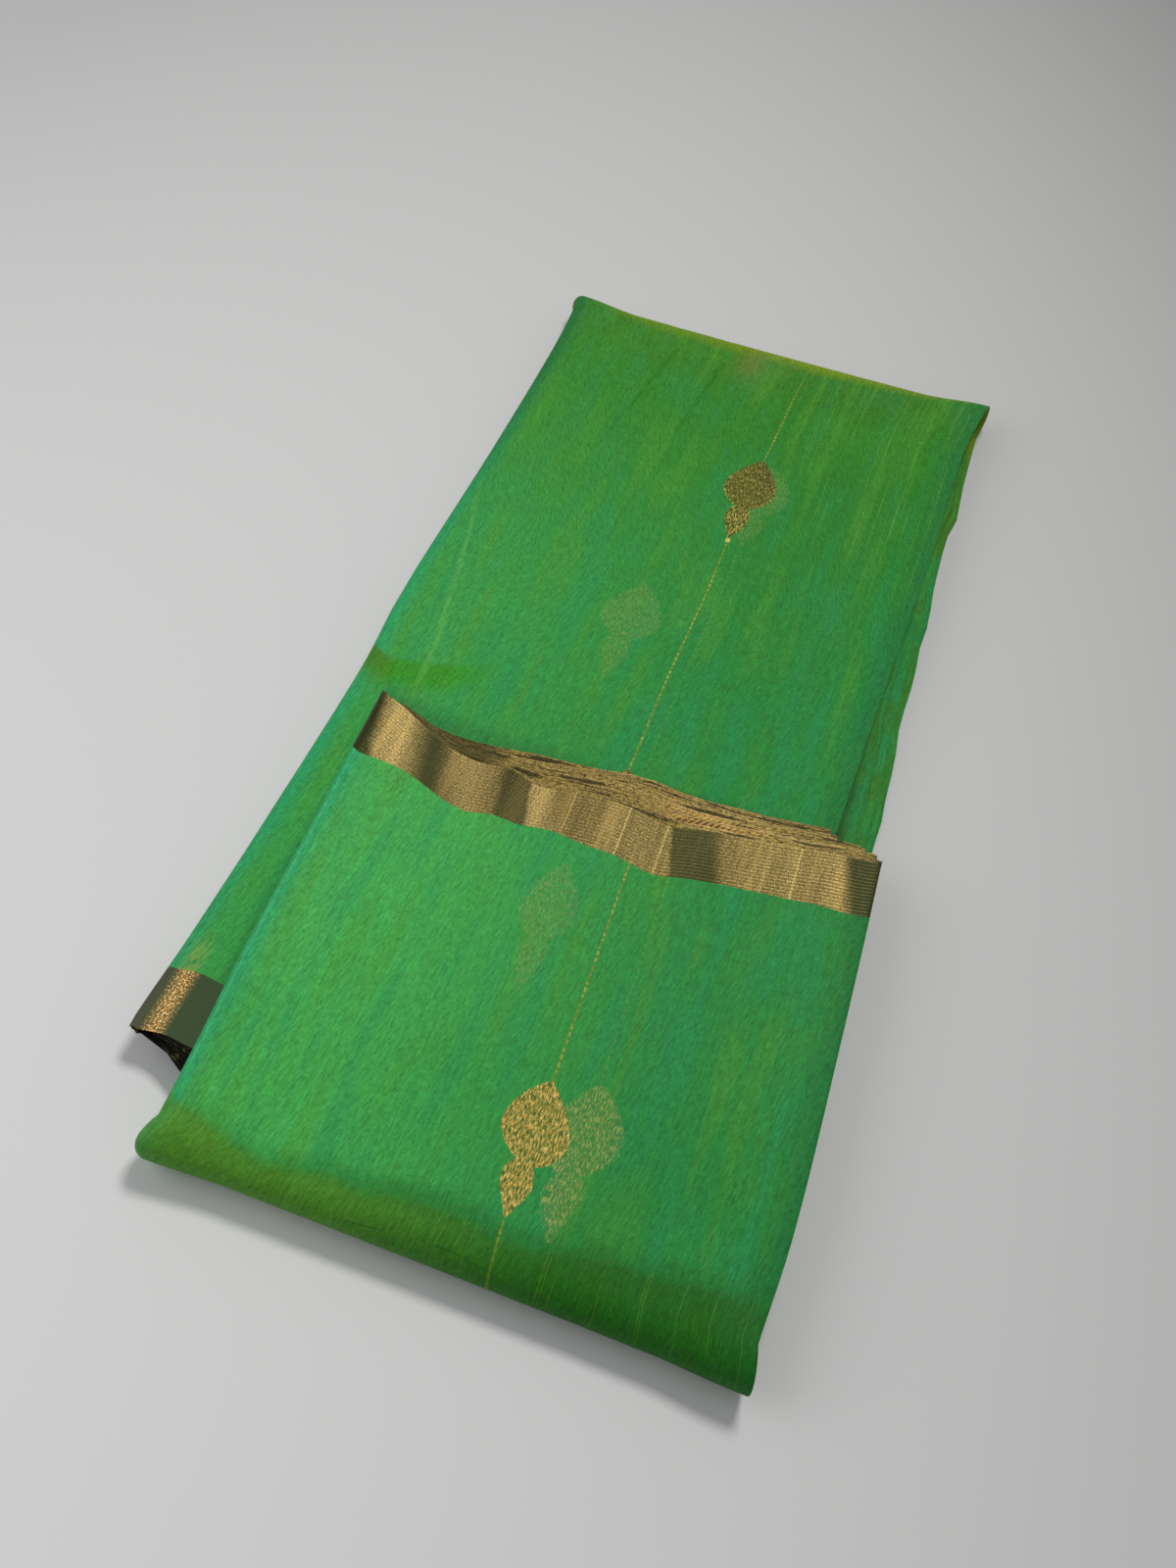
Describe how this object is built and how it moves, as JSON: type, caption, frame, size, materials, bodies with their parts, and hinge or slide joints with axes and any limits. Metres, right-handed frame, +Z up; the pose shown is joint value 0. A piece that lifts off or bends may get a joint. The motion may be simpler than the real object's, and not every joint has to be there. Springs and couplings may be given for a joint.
{
  "type": "folded silk sari",
  "caption": "Silk sari cloth folded back and forth and then in three, lying flat as a long narrow pack with its open end across the top.",
  "frame": {"origin": "on the flat underside, midway between the two sides and near the middle of the pack's length", "axes": "+X across the pack to its right side, +Y along the pack towards its far fold, +Z up from the surface that it lies on"},
  "size_m": [0.2448, 0.5019, 0.0291],
  "materials": {
    "silk": "satin"
  },
  "bodies": {
    "root": {"sari_cloth": "silk"}
  },
  "joints": []
}
